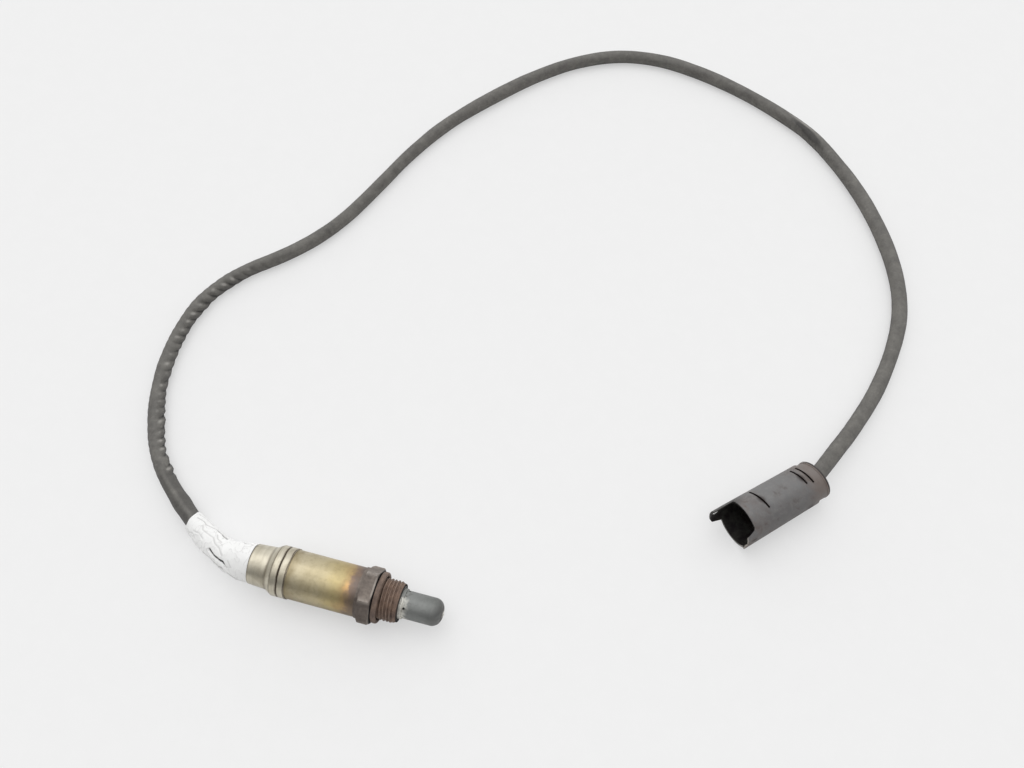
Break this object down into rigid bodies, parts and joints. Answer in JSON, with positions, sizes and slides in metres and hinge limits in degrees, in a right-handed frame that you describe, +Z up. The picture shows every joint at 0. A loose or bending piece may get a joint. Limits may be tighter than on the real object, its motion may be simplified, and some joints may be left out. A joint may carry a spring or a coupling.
{
  "type": "oxygen sensor",
  "caption": "Heated oxygen sensor with a threaded probe, hexagon, crimped cap, taped lead exit, sleeved cable and a round plug with side lugs.",
  "frame": {"origin": "on the resting surface, under the middle of the probe (cable, wrap and plug not counted)", "axes": "+X along the probe towards its tip, +Z up, +Y towards the cable's loop"},
  "size_m": [0.3519, 0.3661, 0.022],
  "materials": {
    "hex_steel": "heat-tinted and rusty",
    "ring_steel": "heat-tinted and rusty",
    "tube_steel": "blue-grey, heat-darkened",
    "shell_steel": "straw heat tint",
    "cap_steel": "satin",
    "inner_steel": "satin",
    "contact_metal": "satin",
    "white_ceramic": "matte",
    "element_ceramic": "matte",
    "talc": "pressed powder",
    "black_rubber": "matte",
    "guide_plastic": "matte",
    "black_wire": "satin",
    "grey_wire": "satin",
    "white_wire": "satin",
    "white_tape": "crinkled, satin",
    "sleeve_rubber": "matte",
    "plug_plastic": "worn, matte",
    "retainer_plastic": "satin black",
    "carrier_plastic": "matte black",
    "tinned_brass": "tinned"
  },
  "bodies": {
    "root": {"hex_body": "hex_steel", "sealing_ring": "ring_steel", "outer_protection_tube": "tube_steel", "inner_protection_tube": "inner_steel", "zirconia_element": "element_ceramic", "seat_washer": "inner_steel", "talc_packing": "talc", "clamp_ring": "inner_steel", "heater_rod": "white_ceramic", "inner_contact": "contact_metal", "outer_contact": "contact_metal", "ceramic_support": "white_ceramic", "signal_terminal": "contact_metal", "ground_terminal": "contact_metal", "heater_terminal_a": "contact_metal", "heater_terminal_b": "contact_metal", "outer_shell": "shell_steel", "disc_spring": "inner_steel", "wire_guide": "guide_plastic", "rubber_grommet": "black_rubber", "rear_cap": "cap_steel", "signal_lead": "black_wire", "ground_lead": "grey_wire", "heater_lead_a": "white_wire", "heater_lead_b": "white_wire", "tape_wrap": "white_tape", "cable_sleeve": "sleeve_rubber", "plug_housing": "plug_plastic", "plug_retainer": "retainer_plastic", "wire_seal": "black_rubber", "pin_carrier": "carrier_plastic", "mouth_seal": "black_rubber", "signal_pin": "tinned_brass", "ground_pin": "tinned_brass", "heater_pin_a": "tinned_brass", "heater_pin_b": "tinned_brass"}
  },
  "joints": []
}
